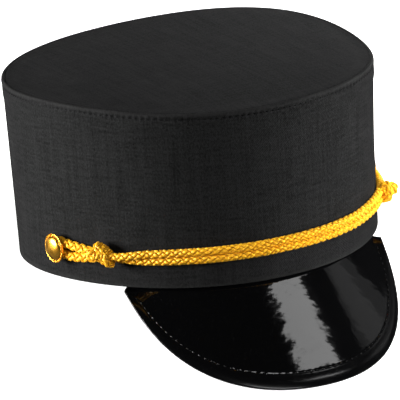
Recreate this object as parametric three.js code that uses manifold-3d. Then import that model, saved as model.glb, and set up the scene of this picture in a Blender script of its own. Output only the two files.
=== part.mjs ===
// A drum-shaped costume cap of stiffened black cloth: an upright crown that flares a little towards a
// flat top, a steep glossy visor sewn inside the front of the rim, and a doubled gold cord that is
// knotted at both sides and looped round two domed buttons.
//
// The pieces are worked out in the cap's own frame: millimetres, +Z up the drum's axis, the rim's plane
// at height 0 and the front towards -Y. An azimuth runs round the drum from the front, and is positive
// towards +X, which is the wearer's left. At the end the whole cap leans back until it rests on the back
// of its rim and on the edge of its visor, with the floor at height 0.
import * as THREE from "three";
import { mergeVertices } from "three/addons/utils/BufferGeometryUtils.js";
import Module from "manifold-3d";

const wasm = await Module();
wasm.setup();

// Driving dimensions of the crown
const HEAD_GIRTH = 580; // round the inside of the rim
const CROWN_HEIGHT = 93;
const TOP_FLARE = 2.8; // how much further out the top edge stands than the rim
const TOP_FORWARD = 2.3; // how far the top leans over the front
const CLOTH = 2.2; // cloth and its stiffening together
const WAIST = 0.4; // the wall draws in by this between its edges
const EDGE_ROUND = 0.7; // the fold at the rim
const SEAM_DEPTH = 3.4; // the topstitched seam, below the top edge
const GAP = 0.3; // between two pieces that touch
const TOP_PANEL_DOME = 0.8; // the middle of the top panel, above its edge

// The drum isn't round: its outline swells by these lengths, a row for each wave count round the drum.
const OUTLINE_SWELL = [
  { waves: 2, atRim: 2.0, atTop: 3.0 },
  { waves: 3, atRim: 0.3, atTop: 0.5 },
  { waves: 4, atRim: 0.4, atTop: -0.8 },
];
// Neither edge is level: each rises and falls by these heights, a row for each wave count.
const TOP_EDGE_WARP = [
  { waves: 1, front: -0.6, side: 0.3 },
  { waves: 2, front: -0.4, side: -1.9 },
  { waves: 3, front: 0.0, side: 0.6 },
  { waves: 4, front: -0.3, side: 0.5 },
];
const RIM_WARP = [
  { waves: 2, front: 0.3, side: 0 },
  { waves: 3, front: -0.7, side: 0 },
  { waves: 4, front: 0.3, side: 0 },
];

// Driving dimensions of the visor
const VISOR_THICKNESS = 1.5;
const VISOR_ROOT = { radius: 92.5, swell: 2 }; // the line under the rim that its size is taken from
const VISOR_REACH = 47; // from that line to the edge at the front, level
const VISOR_DROP = 45.4; // from the rim to the edge at the front, down
const VISOR_TUCK = 9.2; // how far the edge's line would climb above the rim at its two ends
const VISOR_SPAN = 52.9; // azimuth where that line ends
const VISOR_TIP = 0.93; // the share of the span that shows below the rim
const REACH_ROUNDNESS = 1.81;
const DROP_ROUNDNESS = 2.64;
const VISOR_FAN = 0.7; // the sheet fans out by this share of its azimuth
const VISOR_FLANGE = 7; // sewn up inside the crown
const WELT_INSET = 9; // the stitched welt, from the visor's edge
const WELT_GROOVE = { width: 1.4, depth: 0.35 };

// Driving dimensions of the cord and what it is tied to
const STRAND = 3.8; // diameter
const STRAND_SPACING = STRAND + GAP;
const STRAND_IN_KNOT = 2.5; // how far a strand runs into its knot
// The doubled cord's route across the front, a row for each place along it. The pair leans over before
// the right knot, where one strand comes to lie on the other.
const CORD_ROUTE = [
  { azimuth: -54, height: 16.5, lean: 70 },
  { azimuth: -48, height: 16.6, lean: 58 },
  { azimuth: -40, height: 17.1, lean: 12 },
  { azimuth: -30, height: 17.7, lean: 0 },
  { azimuth: -15, height: 18.2, lean: 0 },
  { azimuth: 0, height: 18.6, lean: 0 },
  { azimuth: 15, height: 18.5, lean: 0 },
  { azimuth: 30, height: 18.4, lean: 0 },
  { azimuth: 44, height: 19.2, lean: 0 },
  { azimuth: 55.5, height: 19.7, lean: 0 },
];
// The two sides aren't alike: the cord sits a little further round towards the left.
const SIDES = {
  right: {
    sign: -1,
    knot: { azimuth: 54, height: 18, length: 14.5, tall: 1, deep: 1 },
    button: { azimuth: 73, height: 17.2 },
    loop: { start: 15.9, halfway: 16.1 },
  },
  left: {
    sign: 1,
    knot: { azimuth: 55.5, height: 20, length: 14, tall: 0.82, deep: 1.08 },
    button: { azimuth: 88, height: 21 },
    loop: { start: 20, halfway: 20.4 },
  },
};
// The turns of cord that make up a knot, a row for each: where its middle is, from the knot's own
// middle towards the front and up, its size, and how far its top leans towards the button.
const KNOT_TURNS = [
  { forward: -4.2, up: 0.4, wide: 5.4, tall: 9.6, deep: 9, lean: 0 },
  { forward: -0.2, up: 0.8, wide: 4.6, tall: 13.6, deep: 10.4, lean: 18 },
  { forward: 3.6, up: -0.9, wide: 4.4, tall: 12.4, deep: 9.8, lean: 18 },
];
const BUTTON = { diameter: 16, dome: 2.2, edge: 1.3, post: 2, foot: 8, footThickness: 1 };

const AROUND = 72; // facets round the drum
const ALONG_VISOR = 48; // facets along the visor
const STRAND_SIDES = 10;

const radians = THREE.MathUtils.degToRad;
const rimRadius = HEAD_GIRTH / (2 * Math.PI) + CLOTH;

const cloth = new THREE.MeshStandardMaterial({ color: 0x26262a, roughness: 0.9, metalness: 0 });
const patent = new THREE.MeshStandardMaterial({ color: 0x060607, roughness: 0.08, metalness: 0 });
const goldBraid = new THREE.MeshStandardMaterial({ color: 0xe8a41c, roughness: 0.45, metalness: 0.1 });
const gilt = new THREE.MeshStandardMaterial({ color: 0xd9a441, roughness: 0.22, metalness: 1 });

// The crown's surface

// Outer radius of the drum at a level: 0 at the rim, 1 at the top edge.
function drumRadius(azimuth, level) {
  let radius = rimRadius + TOP_FLARE * level;
  for (const swell of OUTLINE_SWELL) {
    radius += THREE.MathUtils.lerp(swell.atRim, swell.atTop, level) * Math.cos(swell.waves * azimuth);
  }
  return radius;
}

function edgeWarp(rows, azimuth) {
  let rise = 0;
  for (const warp of rows) {
    rise += warp.front * Math.cos(warp.waves * azimuth) + warp.side * Math.sin(warp.waves * azimuth);
  }
  return rise;
}

// A point on or near the drum's wall: inset is inwards from its outer face.
function drumPoint(azimuth, level, rise, inset) {
  const radius = drumRadius(azimuth, level) - inset - WAIST * Math.sin(Math.PI * Math.min(level, 1));
  const top = CROWN_HEIGHT + edgeWarp(TOP_EDGE_WARP, azimuth);
  return new THREE.Vector3(
    radius * Math.sin(azimuth),
    -radius * Math.cos(azimuth) - TOP_FORWARD * level,
    THREE.MathUtils.lerp(edgeWarp(RIM_WARP, azimuth), top, level) + rise,
  );
}

// A point that stands off the wall at a height above the rim, for what lies on the crown.
function onWall(azimuth, height, standOff) {
  return drumPoint(azimuth, height / CROWN_HEIGHT, 0, -standOff);
}

// Solids from rings of points, and booleans

// A closed solid from rings of equal length; each ring is one closed section, and the first and last
// are capped with a fan unless the rings themselves close on each other.
function loft(rings, closed) {
  const size = rings[0].length;
  const corners = [];
  const quad = (a, b, c, d) => corners.push(a, b, c, a, c, d);
  const count = closed ? rings.length : rings.length - 1;
  for (let i = 0; i < count; i++) {
    const here = rings[i];
    const next = rings[(i + 1) % rings.length];
    for (let j = 0; j < size; j++) {
      const k = (j + 1) % size;
      quad(here[j], next[j], next[k], here[k]);
    }
  }
  if (!closed) {
    for (const [ring, flip] of [[rings[0], false], [rings[rings.length - 1], true]]) {
      const flat = THREE.ShapeUtils.triangulateShape(flattened(ring), []);
      for (const [a, b, c] of flat) {
        corners.push(ring[flip ? c : a], ring[b], ring[flip ? a : c]);
      }
    }
  }
  const geometry = new THREE.BufferGeometry().setFromPoints(corners);
  return outward(geometry);
}

// A ring's points in its own plane, for cutting its cap into triangles.
function flattened(ring) {
  const middle = ring.reduce((sum, p) => sum.add(p), new THREE.Vector3()).divideScalar(ring.length);
  const across = ring[0].clone().sub(middle).normalize();
  const normal = new THREE.Vector3();
  for (let i = 0; i < ring.length; i++) {
    const a = ring[i].clone().sub(middle);
    const b = ring[(i + 1) % ring.length].clone().sub(middle);
    normal.add(a.cross(b));
  }
  const up = normal.normalize().cross(across);
  return ring.map((p) => {
    const q = p.clone().sub(middle);
    return new THREE.Vector2(q.dot(across), q.dot(up));
  });
}

// Turns a mesh's faces round if its signed volume says that they point inwards.
function outward(geometry) {
  const p = geometry.getAttribute("position");
  const [a, b, c] = [new THREE.Vector3(), new THREE.Vector3(), new THREE.Vector3()];
  let volume = 0;
  for (let i = 0; i < p.count; i += 3) {
    a.fromBufferAttribute(p, i);
    b.fromBufferAttribute(p, i + 1);
    c.fromBufferAttribute(p, i + 2);
    volume += a.dot(b.cross(c));
  }
  if (volume < 0) {
    const turned = [];
    for (let i = 0; i < p.count; i += 3) {
      for (const j of [i + 2, i + 1, i]) {
        turned.push(new THREE.Vector3().fromBufferAttribute(p, j));
      }
    }
    return new THREE.BufferGeometry().setFromPoints(turned);
  }
  return geometry;
}

function asSolid(geometry) {
  const bare = geometry.index ? geometry.toNonIndexed() : geometry.clone();
  bare.deleteAttribute("normal");
  bare.deleteAttribute("uv");
  const merged = mergeVertices(bare, 1e-4);
  return new wasm.Manifold(
    new wasm.Mesh({
      numProp: 3,
      vertProperties: merged.attributes.position.array,
      triVerts: new Uint32Array(merged.index.array),
    }),
  );
}

function asGeometry(solid) {
  const mesh = solid.getMesh();
  const geometry = new THREE.BufferGeometry();
  geometry.setAttribute("position", new THREE.BufferAttribute(mesh.vertProperties, 3));
  geometry.setIndex(new THREE.BufferAttribute(mesh.triVerts, 1));
  return geometry;
}

// A round bar along a list of points.
function bar(points, diameter) {
  const section = new THREE.Shape().absarc(0, 0, diameter / 2, 0, 2 * Math.PI, false);
  const path = new THREE.CatmullRomCurve3(points);
  return new THREE.ExtrudeGeometry(section, {
    steps: Math.round(path.getLength() / (2 * STRAND)) * 2,
    curveSegments: STRAND_SIDES / 2,
    extrudePath: path,
  });
}

// The crown

// The wall's section, a row for each line round it: a level and a rise from it, and an inset.
const WALL_SECTION = [
  { level: 0, rise: 0, inset: EDGE_ROUND },
  { level: 0, rise: EDGE_ROUND, inset: 0 },
  { level: 0.3, rise: 0, inset: 0 },
  { level: 0.6, rise: 0, inset: 0 },
  { level: 0.85, rise: 0, inset: 0 },
  { level: 1, rise: -SEAM_DEPTH, inset: 0.35 },
  { level: 1, rise: -SEAM_DEPTH + 0.7, inset: -0.35 },
  { level: 1, rise: -1.1, inset: -0.35 },
  { level: 1, rise: -0.3, inset: 0.2 },
  { level: 1, rise: 0, inset: 1.1 },
  { level: 1, rise: 0, inset: CLOTH },
  { level: 0.6, rise: 0, inset: CLOTH },
  { level: 0.3, rise: 0, inset: CLOTH },
  { level: 0, rise: EDGE_ROUND, inset: CLOTH },
  { level: 0, rise: 0, inset: CLOTH - EDGE_ROUND },
];

function crownSide() {
  const rings = WALL_SECTION.map((row) => ringRound(row.level, row.rise, row.inset));
  let wall = asSolid(loft(rings, true));
  for (const side of Object.values(SIDES)) {
    wall = wall.subtract(asSolid(postHole(side)));
  }
  return asGeometry(wall);
}

function ringRound(level, rise, inset) {
  const ring = [];
  for (let i = 0; i < AROUND; i++) {
    ring.push(drumPoint(((i + 0.5) * 2 * Math.PI) / AROUND, level, rise, inset));
  }
  return ring;
}

// The top panel lies in the wall, flat in its middle half, and follows the warped edge further out.
function crownTop() {
  const flatShare = 0.5;
  const shares = [flatShare, 0.8, 1];
  const faces = [0, -CLOTH];
  const rings = [];
  for (const face of faces) {
    const row = shares.map((share) => {
      const ring = [];
      for (const edge of ringRound(1, 0, CLOTH + GAP)) {
        const azimuth = Math.atan2(edge.x, -(edge.y + TOP_FORWARD));
        const bend = THREE.MathUtils.smoothstep(share, flatShare, 1);
        const height = CROWN_HEIGHT + edgeWarp(TOP_EDGE_WARP, azimuth) * bend + TOP_PANEL_DOME * (1 - bend);
        const y = (edge.y + TOP_FORWARD) * share - TOP_FORWARD;
        ring.push(new THREE.Vector3(edge.x * share, y, height - GAP + face));
      }
      return ring;
    });
    rings.push(...(face === 0 ? row : row.reverse()));
  }
  return loft(rings, false);
}

// The visor

// A point of the visor's edge; u runs from -1 to 1 over the whole span.
function visorEdge(u) {
  const azimuth = radians(VISOR_SPAN) * u;
  const inner = drumPoint(azimuth, 0, -GAP, CLOTH + GAP);
  const reach = VISOR_REACH * (1 - Math.abs(u) ** REACH_ROUNDNESS);
  const drop = (VISOR_DROP + VISOR_TUCK) * (1 - Math.abs(u) ** DROP_ROUNDNESS) - VISOR_TUCK;
  const way = new THREE.Vector3(Math.sin(azimuth * VISOR_FAN), -Math.cos(azimuth * VISOR_FAN), 0);
  const root = VISOR_ROOT.radius + VISOR_ROOT.swell * Math.cos(2 * azimuth);
  const edge = new THREE.Vector3(root * Math.sin(azimuth), -root * Math.cos(azimuth), 0);
  edge.addScaledVector(way, reach);
  edge.z = Math.min(-drop, inner.z - GAP);
  return { azimuth, inner, edge, way };
}

// The visor's section at u: up the flange, out along the sheet, and back underneath.
function visorSection(u) {
  const { azimuth, inner, edge, way } = visorEdge(u);
  const run = edge.clone().sub(inner);
  const length = run.length();
  run.normalize();
  const level = Math.hypot(run.x, run.y);
  const inwards = way.clone().multiplyScalar(run.z).setZ(-level);
  const along = (distance, sink) =>
    inner.clone().addScaledVector(run, distance).addScaledVector(inwards, sink);
  const welt = length - Math.min(WELT_INSET, length * 0.5);
  const half = WELT_GROOVE.width / 2;
  const depth = WELT_GROOVE.depth * THREE.MathUtils.smoothstep(length, 8, 20);
  const flange = (rise, inset) => drumPoint(azimuth, 0, rise, CLOTH + GAP + inset);
  return [
    flange(VISOR_FLANGE, 0),
    inner,
    along(welt - half, 0),
    along(welt, depth),
    along(welt + half, 0),
    edge,
    along(length, VISOR_THICKNESS),
    along(VISOR_THICKNESS * 0.6, VISOR_THICKNESS),
    flange(0, VISOR_THICKNESS),
    flange(VISOR_FLANGE, VISOR_THICKNESS),
  ];
}

function visor() {
  const sections = [];
  for (let i = 0; i <= ALONG_VISOR; i++) {
    const u = VISOR_TIP * (2 * (i / ALONG_VISOR) - 1);
    sections.push(visorSection(u));
  }
  return loft(sections, false);
}

// The cord, its knots and its buttons

// Places a solid made about the origin on the wall: its +X runs round the drum, +Z out from the wall.
function wallFrame(azimuth, height, standOff) {
  const out = new THREE.Vector3(Math.sin(azimuth), -Math.cos(azimuth), 0);
  const round = new THREE.Vector3(Math.cos(azimuth), Math.sin(azimuth), 0);
  const frame = new THREE.Matrix4().makeBasis(round, new THREE.Vector3(0, 0, 1), out);
  return frame.setPosition(onWall(azimuth, height, standOff));
}

// The pair's height and lean at an azimuth, in degrees.
function onRoute(azimuth) {
  const after = CORD_ROUTE.findIndex((row) => row.azimuth >= azimuth);
  const next = CORD_ROUTE[Math.max(after, 1)];
  const last = CORD_ROUTE[Math.max(after, 1) - 1];
  const share = (azimuth - last.azimuth) / (next.azimuth - last.azimuth);
  const { lerp } = THREE.MathUtils;
  return { height: lerp(last.height, next.height, share), lean: lerp(last.lean, next.lean, share) };
}

// One strand's centre line across the front: sign is 1 for the upper strand and -1 for the lower one.
// extra carries both ends further into their knots.
function strandPoints(sign, extra) {
  const inKnot = (side) => (side.knot.length / 2 - STRAND_IN_KNOT - extra) / rimRadius;
  const first = -radians(SIDES.right.knot.azimuth) + inKnot(SIDES.right);
  const last = radians(SIDES.left.knot.azimuth) - inKnot(SIDES.left);
  const points = [];
  for (let i = 0; i <= 32; i++) {
    const azimuth = THREE.MathUtils.lerp(first, last, i / 32);
    const { height, lean } = onRoute(THREE.MathUtils.radToDeg(azimuth));
    const up = (sign * STRAND_SPACING * Math.cos(radians(lean))) / 2;
    const out = ((1 + sign) * STRAND_SPACING * Math.sin(radians(lean))) / 2;
    points.push(onWall(azimuth, height + up, STRAND / 2 + GAP + out));
  }
  return points;
}

// The loop behind a button: out of the knot, round the post and back into the knot.
function loopPoints(side, extra) {
  const { knot, button, loop } = side;
  const ends = radians(knot.azimuth) + (knot.length / 2 - STRAND_IN_KNOT - extra) / rimRadius;
  const halfway = radians(knot.azimuth * 0.4 + button.azimuth * 0.6);
  const turn = BUTTON.post / 2 + GAP + STRAND / 2;
  const leg = (sign) =>
    new THREE.SplineCurve([
      new THREE.Vector2(ends, loop.start + (sign * STRAND_SPACING) / 2),
      new THREE.Vector2(halfway, loop.halfway + sign * 2.7),
      new THREE.Vector2(radians(button.azimuth), button.height + sign * turn),
    ]).getPoints(8);
  const route = leg(1).slice(0, -1);
  for (let i = 0; i <= 6; i++) {
    const angle = Math.PI / 2 - (i / 6) * Math.PI;
    const azimuth = radians(button.azimuth) + (turn * Math.cos(angle)) / rimRadius;
    route.push(new THREE.Vector2(azimuth, button.height + turn * Math.sin(angle)));
  }
  route.push(...leg(-1).reverse().slice(1));
  return route.map((at) => onWall(side.sign * at.x, at.y, STRAND / 2 + GAP));
}

// A knot: a rounded body with fat turns of cord round it, and pockets for the strands.
function knot(side) {
  const { azimuth, height, length, tall, deep } = side.knot;
  const deepest = Math.max(...KNOT_TURNS.map((turn) => turn.deep)) * deep;
  const frame = wallFrame(side.sign * radians(azimuth), height, deepest / 2 + GAP);
  const body = new THREE.SphereGeometry(0.5, 14, 9);
  body.scale(length * 0.9, 9.4 * tall, 8.6 * deep);
  let solid = asSolid(body);
  for (const turn of KNOT_TURNS) {
    const tyre = roundedDisc();
    tyre.scale(turn.wide, turn.tall * tall, turn.deep * deep);
    tyre.rotateZ(-side.sign * radians(turn.lean));
    tyre.translate(-side.sign * turn.forward, turn.up * tall, 0);
    solid = solid.add(asSolid(tyre));
  }
  return cutPockets(solid.transform(frame.elements), side);
}

// A disc with a fully rounded rim, 1 wide along X and 1 across.
function roundedDisc() {
  const rim = 0.21;
  const profile = [new THREE.Vector2(0, -0.5)];
  for (let i = 0; i <= 6; i++) {
    const angle = (i / 6 - 0.5) * Math.PI;
    profile.push(new THREE.Vector2(0.5 - rim + rim * Math.cos(angle), 0.5 * Math.sin(angle)));
  }
  profile.push(new THREE.Vector2(0, 0.5));
  return outward(new THREE.LatheGeometry(profile, 16).rotateZ(Math.PI / 2).toNonIndexed());
}

// Cuts a pocket for each strand that runs into a knot, a gap wider and deeper than the strand.
function cutPockets(solid, side) {
  const pocket = STRAND + 3 * GAP;
  let cut = solid;
  for (const route of [strandPoints(1, GAP), strandPoints(-1, GAP), loopPoints(side, GAP)]) {
    cut = cut.subtract(asSolid(bar(route, pocket)));
  }
  return asGeometry(cut);
}

// A domed button turned about its post, which goes through the wall to a flat foot inside.
function button(side) {
  const radius = BUTTON.diameter / 2;
  const under = STRAND + 2 * GAP + 0.1;
  const inside = -CLOTH - GAP - 0.1;
  const top = under + BUTTON.edge;
  const profile = [
    [0, inside - BUTTON.footThickness],
    [BUTTON.foot / 2, inside - BUTTON.footThickness],
    [BUTTON.foot / 2, inside],
    [BUTTON.post / 2, inside],
    [BUTTON.post / 2, under],
    [radius - 0.6, under],
    [radius, under + 0.5],
    [radius, top - 0.3],
    [radius - 0.5, top],
    [radius - 1.1, top - 0.35],
  ];
  const domeBase = radius - 1.5;
  for (let i = 0; i <= 4; i++) {
    const angle = (i / 4) * (Math.PI / 2);
    profile.push([domeBase * Math.cos(angle), top - 0.3 + BUTTON.dome * Math.sin(angle)]);
  }
  const turned = new THREE.LatheGeometry(
    profile.map(([r, s]) => new THREE.Vector2(Math.max(r, 0), s)),
    24,
  );
  turned.rotateX(Math.PI / 2);
  turned.applyMatrix4(postFrame(side));
  return outward(turned.toNonIndexed());
}

function postFrame(side) {
  return wallFrame(side.sign * radians(side.button.azimuth), side.button.height, 0);
}

function postHole(side) {
  const hole = new THREE.CylinderGeometry(BUTTON.post / 2 + GAP, BUTTON.post / 2 + GAP, 4 * CLOTH, 16);
  hole.rotateX(Math.PI / 2);
  hole.applyMatrix4(postFrame(side));
  return hole;
}

// The cap leans back until the edge of the visor touches the floor that the back of its rim stands on.
function restingTilt() {
  const heel = drumPoint(Math.PI, 0, 0, EDGE_ROUND);
  let tilt = 0;
  for (let i = 0; i <= ALONG_VISOR; i++) {
    const section = visorSection(VISOR_TIP * (2 * (i / ALONG_VISOR) - 1));
    for (const p of section) {
      tilt = Math.max(tilt, Math.atan2(heel.z - p.z, heel.y - p.y));
    }
  }
  return tilt;
}

const cap = new THREE.Group();

function piece(name, geometry, material) {
  const mesh = new THREE.Mesh(geometry, material);
  mesh.name = name;
  cap.add(mesh);
}

piece("crown_side", crownSide(), cloth);
piece("crown_top", crownTop(), cloth);
piece("visor", visor(), patent);
piece("cord_upper", bar(strandPoints(1, 0), STRAND), goldBraid);
piece("cord_lower", bar(strandPoints(-1, 0), STRAND), goldBraid);
for (const [hand, side] of Object.entries(SIDES)) {
  piece(`knot_${hand}`, knot(side), goldBraid);
  piece(`cord_loop_${hand}`, bar(loopPoints(side, 0), STRAND), goldBraid);
  piece(`button_${hand}`, button(side), gilt);
}

cap.rotation.x = -restingTilt();
cap.updateMatrixWorld(true);
const box = new THREE.Box3().setFromObject(cap, true);
cap.position.set(-(box.min.x + box.max.x) / 2, -(box.min.y + box.max.y) / 2, -box.min.z);

export default cap;
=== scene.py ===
# %% [markdown]
# # Soldier costume cap
# This notebook dresses a drum-shaped cap of black cloth with a glossy visor, a doubled gold cord and two
# gilt buttons. The solids from the CAD step are the frame: every piece below lies on the same drum,
# which is given by a few lengths in millimetres, and takes the place of the solid that it refines.

# %% The frame and its box
import math
import bmesh
import bpy
from mathutils import Matrix, Vector


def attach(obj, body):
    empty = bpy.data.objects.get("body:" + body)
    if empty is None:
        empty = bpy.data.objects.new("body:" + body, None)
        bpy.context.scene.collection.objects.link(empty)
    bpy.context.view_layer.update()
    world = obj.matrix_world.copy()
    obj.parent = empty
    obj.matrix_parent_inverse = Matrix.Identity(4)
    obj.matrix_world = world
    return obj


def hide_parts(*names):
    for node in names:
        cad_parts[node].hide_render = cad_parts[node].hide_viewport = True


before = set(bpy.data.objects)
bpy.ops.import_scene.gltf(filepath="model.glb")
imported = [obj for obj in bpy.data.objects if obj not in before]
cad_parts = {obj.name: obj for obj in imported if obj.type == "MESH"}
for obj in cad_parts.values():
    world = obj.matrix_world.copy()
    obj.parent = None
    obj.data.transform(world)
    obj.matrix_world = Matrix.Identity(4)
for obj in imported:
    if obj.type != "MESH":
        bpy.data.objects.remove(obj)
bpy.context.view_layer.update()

print("solids:", sorted(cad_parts))

# %% [markdown]
# The photograph was taken from the wearer's right, a little above the cap, with a long lens. The camera's
# place was fitted to the outline of the solids, so it is written down as a place and three directions.

# %% The camera
CAMERA_PLACE = Vector((-1.388945, -2.815435, 1.602358))
CAMERA_RIGHT = Vector((0.90040988, -0.43490266, 0.01103293))
CAMERA_UP = Vector((0.1843844, 0.40446873, 0.89577198))
CAMERA_AHEAD = Vector((0.39403609, 0.80452764, -0.4443769))


def put_in_scene(name, data):
    made = bpy.data.objects.new(name, data)
    bpy.context.collection.objects.link(made)
    return made


lens = bpy.data.cameras.new("long_lens")
lens.sensor_width = 36
lens.lens = 613.21
lens.clip_end = 30
camera = put_in_scene("camera", lens)
axes = Matrix((CAMERA_RIGHT, CAMERA_UP, -CAMERA_AHEAD)).transposed().to_4x4()
camera.matrix_world = Matrix.Translation(CAMERA_PLACE) @ axes
bpy.context.scene.camera = camera
print("camera at", tuple(round(x, 3) for x in CAMERA_PLACE))

# %% [markdown]
# A few small helpers keep the node trees readable: one adds a node, sets it and links it in one call, and
# the others do a sum or a change of range. They serve shader trees and geometry trees alike.

# %% Helpers for node trees
def feed(tree, node, inputs):
    """Links each socket that is given to the node's input of that name, and sets each plain value."""
    for key, value in inputs.items():
        if isinstance(value, bpy.types.NodeSocket):
            tree.links.new(value, node.inputs[key])
        else:
            node.inputs[key].default_value = value


def add(tree, kind, inputs=None, **settings):
    node = tree.nodes.new(kind)
    for key, value in settings.items():
        setattr(node, key, value)
    feed(tree, node, inputs or {})
    return node


def maths(tree, operation, first, second=0.0, third=0.0):
    inputs = {0: first, 1: second}
    if operation == "MULTIPLY_ADD":
        inputs[2] = third
    return add(tree, "ShaderNodeMath", inputs, operation=operation).outputs[0]


def vectors(tree, operation, first, second=None, scale=None):
    inputs = {0: first}
    if second is not None:
        inputs[1] = second
    if scale is not None:
        inputs["Scale"] = scale
    made = add(tree, "ShaderNodeVectorMath", inputs, operation=operation)
    return made.outputs["Value" if operation in ("DOT_PRODUCT", "LENGTH") else "Vector"]


def spread(tree, value, low, high, to_low, to_high):
    inputs = {"Value": value, "From Min": low, "From Max": high, "To Min": to_low, "To Max": to_high}
    return add(tree, "ShaderNodeMapRange", inputs).outputs["Result"]


def noise(tree, place, scale, detail, roughness=0.5):
    inputs = {"Vector": place, "Scale": scale, "Detail": detail, "Roughness": roughness}
    return add(tree, "ShaderNodeTexNoise", inputs).outputs[0]


print("helpers: feed, add, maths, vectors, spread, noise")

# %% [markdown]
# The photograph's ground is cut out to white. A pale floor that glows a little for the camera gives the
# same white with a faint shadow. In the pieces' own reflections it is a dimmer grey, like a table.

# %% The floor
def blank_paint(name):
    paint = bpy.data.materials.new(name)
    paint.use_nodes = True
    paint.node_tree.nodes.clear()
    return paint, paint.node_tree


def floor_paint():
    paint, tree = blank_paint("studio_floor")
    table = add(tree, "ShaderNodeBsdfDiffuse", {"Color": (0.14, 0.14, 0.14, 1)})
    paper = add(tree, "ShaderNodeBsdfDiffuse", {"Color": (0.8, 0.8, 0.8, 1)})
    glow = add(tree, "ShaderNodeEmission", {"Color": (1, 1, 1, 1), "Strength": 0.78})
    lit = add(tree, "ShaderNodeAddShader", {0: paper.outputs[0], 1: glow.outputs[0]})
    seen = add(tree, "ShaderNodeLightPath").outputs["Is Camera Ray"]
    both = add(tree, "ShaderNodeMixShader", {0: seen, 1: table.outputs[0], 2: lit.outputs[0]})
    add(tree, "ShaderNodeOutputMaterial", {"Surface": both.outputs[0]})
    return paint


def studio_sheet(name, corners, paint):
    """A flat four-cornered sheet of the studio, which isn't part of the cap."""
    mesh = bpy.data.meshes.new(name)
    mesh.from_pydata(corners, [], [(0, 1, 2, 3)])
    mesh.materials.append(paint)
    return put_in_scene(name, mesh)


FLOOR_HALF = 6
floor_corners = [(-FLOOR_HALF, -FLOOR_HALF, 0), (FLOOR_HALF, -FLOOR_HALF, 0)]
floor_corners += [(FLOOR_HALF, FLOOR_HALF, 0), (-FLOOR_HALF, FLOOR_HALF, 0)]
floor = studio_sheet("floor", floor_corners, floor_paint())
print("floor laid,", 2 * FLOOR_HALF, "m wide")

# %% [markdown]
# The wall of the drum is darkest where it faces the camera and lighter towards both outlines, so two large
# soft boxes stand at the left and the right, a card close to the cap lifts the wall's right part, and
# another card lifts the top panel. A weak fill softens the shadows. The visor mirrors the ceiling: it shows
# a long bright panel and, further right, a dim window, and is nearly black elsewhere. So the room is dark,
# and the lamps that would whiten the visor when it is seen from a side are left out of reflections.

# %% The lights
def soft_box(name, place, aim, width, height, radiance, mirrored=True):
    """A rectangular lamp. Its strength is the brightness of its surface, whatever its size."""
    light = bpy.data.lights.new(name, "AREA")
    light.shape = "RECTANGLE"
    light.size = width
    light.size_y = height
    light.energy = radiance * math.pi * width * height
    lamp = put_in_scene(name, light)
    turn = (aim - place).to_track_quat("-Z", "Y").to_matrix().to_4x4()
    lamp.matrix_world = Matrix.Translation(place) @ turn
    lamp.visible_camera = False
    lamp.visible_glossy = mirrored
    print(name, "radiance", radiance)


def from_front(azimuth, elevation, distance):
    """A place round the cap: degrees from the front towards the wearer's left, degrees up, and metres."""
    azimuth, elevation = math.radians(azimuth), math.radians(elevation)
    level = distance * math.cos(elevation)
    return Vector((level * math.sin(azimuth), -level * math.cos(azimuth), distance * math.sin(elevation)))


MIDDLE = Vector((0, 0.02, 0.06))
VISOR_MIDDLE = Vector((0.02, -0.09, 0.03))
soft_box("left_box", from_front(-110, 2, 2.2), MIDDLE, 1.1, 1.2, 70)
soft_box("right_box", from_front(72, 5, 2.2), MIDDLE, 1.0, 1.1, 25, mirrored=False)
soft_box("right_card", from_front(40, 20, 0.33), MIDDLE, 0.12, 0.16, 18, mirrored=False)
soft_box("top_card", from_front(110, 42, 0.36), MIDDLE, 0.15, 0.15, 22, mirrored=False)
soft_box("fill", from_front(-15, 48, 3.7), MIDDLE, 1.6, 1.4, 5.6)
soft_box("right_window", VISOR_MIDDLE + from_front(99, 35, 2.0), VISOR_MIDDLE, 0.18, 0.4, 0.2)
soft_box("window_glow", VISOR_MIDDLE + from_front(100, 34, 1.9), VISOR_MIDDLE, 0.36, 0.56, 0.22)

# The lit panel that the visor mirrors narrows towards the back of the room.
CEILING_CORNERS = [(0.56, -0.21, 1.6), (0.25, -0.38, 1.6), (1.3, -0.2, 1.6), (0.98, -0.115, 1.6)]
lit_paint, lit_tree = blank_paint("lit_panel")
glow = add(lit_tree, "ShaderNodeEmission", {"Color": (1, 1, 1, 1), "Strength": 4.4})
add(lit_tree, "ShaderNodeOutputMaterial", {"Surface": glow.outputs[0]})
ceiling_strip = studio_sheet("ceiling_strip", CEILING_CORNERS, lit_paint)

world = bpy.data.worlds.new("studio")
world.use_nodes = True
studio = world.node_tree
studio.nodes.clear()
dim_room = add(studio, "ShaderNodeBackground", {"Color": (0.013, 0.013, 0.0135, 1)})
white_ground = add(studio, "ShaderNodeBackground", {"Color": (1, 1, 1, 1), "Strength": 1.1})
seen = add(studio, "ShaderNodeLightPath").outputs["Is Camera Ray"]
ground = add(studio, "ShaderNodeMixShader", {0: seen, 1: dim_room.outputs[0], 2: white_ground.outputs[0]})
add(studio, "ShaderNodeOutputWorld", {"Surface": ground.outputs[0]})
bpy.context.scene.world = world
bpy.context.scene.view_settings.view_transform = "Standard"

# %% [markdown]
# A cap's drum is never quite round or level. Its outline is a circle with a few slow waves, and its two
# edges rise and fall a little. An azimuth runs round the drum from the front towards the wearer's left.
# The drum leans back, because the cap rests on the back of its rim and on the visor's edge.

# %% The drum's shape
MM = 0.001
CLOTH = 2.2
GAP = 0.3
HEAD_GIRTH = 580
RIM_RADIUS = HEAD_GIRTH / (2 * math.pi) + CLOTH
CROWN_HEIGHT = 93
TOP_FLARE = 2.8
TOP_FORWARD = 2.3
WAIST = 0.4
TOP_PANEL_DOME = 0.8
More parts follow.
